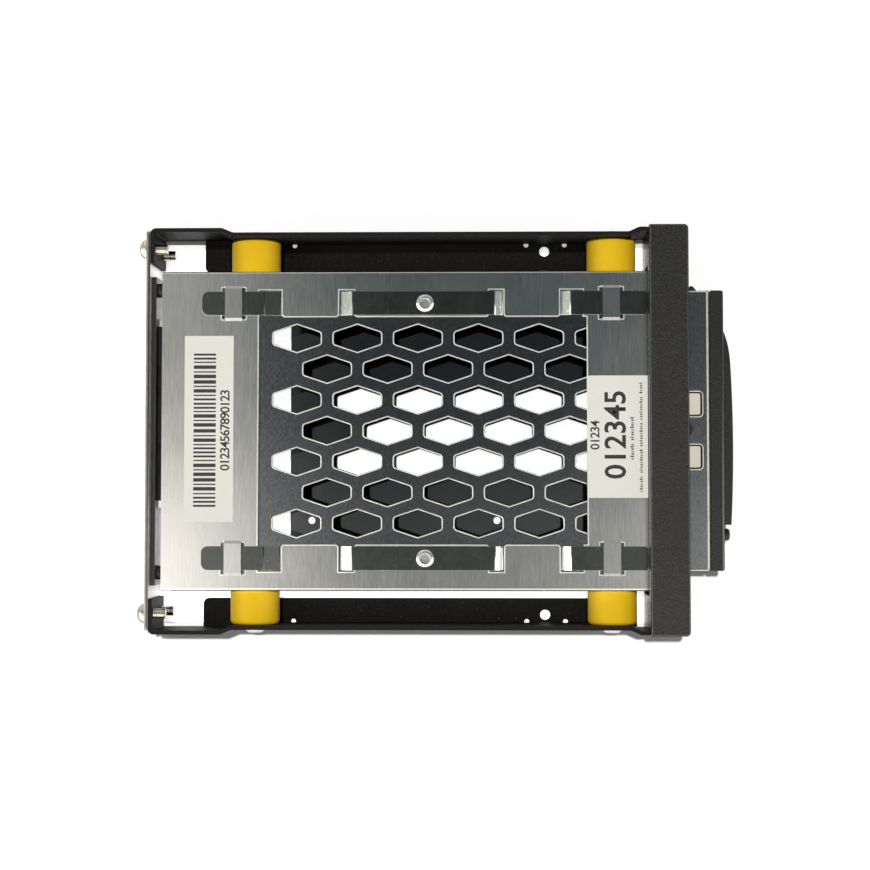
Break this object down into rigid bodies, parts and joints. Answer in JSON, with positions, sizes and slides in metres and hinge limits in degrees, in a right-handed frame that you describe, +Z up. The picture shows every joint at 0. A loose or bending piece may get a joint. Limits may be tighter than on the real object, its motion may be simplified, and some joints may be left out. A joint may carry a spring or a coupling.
{
  "type": "hard drive cage",
  "caption": "Shock-mounted carrier cage for a small drive in a 3.5-inch bay: a steel frame with rubber dampers, a perforated slide-out tray and a swinging lever.",
  "frame": {"origin": "bottom centre of the bounding box, on the plane that the frame's flanges lie on", "axes": "+X out of the front bezel, +Y to the left rail, +Z up through the labelled side of the cage"},
  "size_m": [0.1492, 0.1016, 0.0254],
  "materials": {
    "galvanised": "zinc-coated sheet, satin",
    "rail_paint": "near-black fine powder coat",
    "bezel_paint": "dark grey fine powder coat",
    "zinc_screw": "bright zinc",
    "black_screw": "black oxide",
    "yellow_rubber": "soft matte rubber",
    "brushed_cage": "brushed nickel-plated steel",
    "dark_steel": "smooth rolled steel",
    "spring_steel": "dark tempered spring strip",
    "eyelet_metal": "rolled eyelet",
    "guide_plastic": "moulded",
    "tray_steel": "brushed steel",
    "cream_plastic": "moulded, satin",
    "black_plastic": "fine textured",
    "lever_plastic": "satin",
    "button_plastic": "satin",
    "board_laminate": "black solder mask",
    "connector_plastic": "moulded, fibre filled",
    "clip_metal": "bright tin",
    "white_label": "printed polyester"
  },
  "bodies": {
    "frame": {"left_rail": "rail_paint", "right_rail": "rail_paint", "rear_plate": "galvanised", "front_bezel": "bezel_paint", "rear_screws": "zinc_screw", "bezel_screws": "black_screw", "left_rear_damper": "yellow_rubber", "left_front_damper": "yellow_rubber", "right_rear_damper": "yellow_rubber", "right_front_damper": "yellow_rubber", "damper_screws": "zinc_screw", "damper_studs": "zinc_screw", "damper_nuts": "zinc_screw", "cage_shell": "brushed_cage", "cage_base": "dark_steel", "left_leaf_spring": "spring_steel", "right_leaf_spring": "spring_steel", "spring_eyelets": "eyelet_metal", "left_guide_rail": "guide_plastic", "right_guide_rail": "guide_plastic", "backplane_board": "board_laminate", "board_screws": "black_screw", "drive_connector": "connector_plastic", "connector_clips": "clip_metal", "rear_port": "connector_plastic", "rear_label": "white_label", "front_label": "white_label"},
    "tray": {"tray_floor": "tray_steel", "latch_block": "cream_plastic", "tray_screw": "black_screw", "tray_faceplate": "black_plastic", "hinge_pin": "zinc_screw"},
    "lever": {"lever": "lever_plastic"},
    "button": {"release_button": "button_plastic"}
  },
  "joints": [
    {"name": "tray_slide", "type": "slide", "parent": "frame", "child": "tray", "axis": [1, 0, 0], "range_m": [0, 0.12]},
    {"name": "lever_swing", "type": "hinge", "parent": "tray", "child": "lever", "pos_m": [0.0703, 0.0292, 0.0099], "axis": [0, 0, 1], "range_deg": [0, 75]},
    {"name": "button_push", "type": "slide", "parent": "tray", "child": "button", "axis": [-1, 0, 0], "range_m": [0, 0.0006], "stiffness_N_per_m": 800, "springref_m": -0.0005}
  ]
}
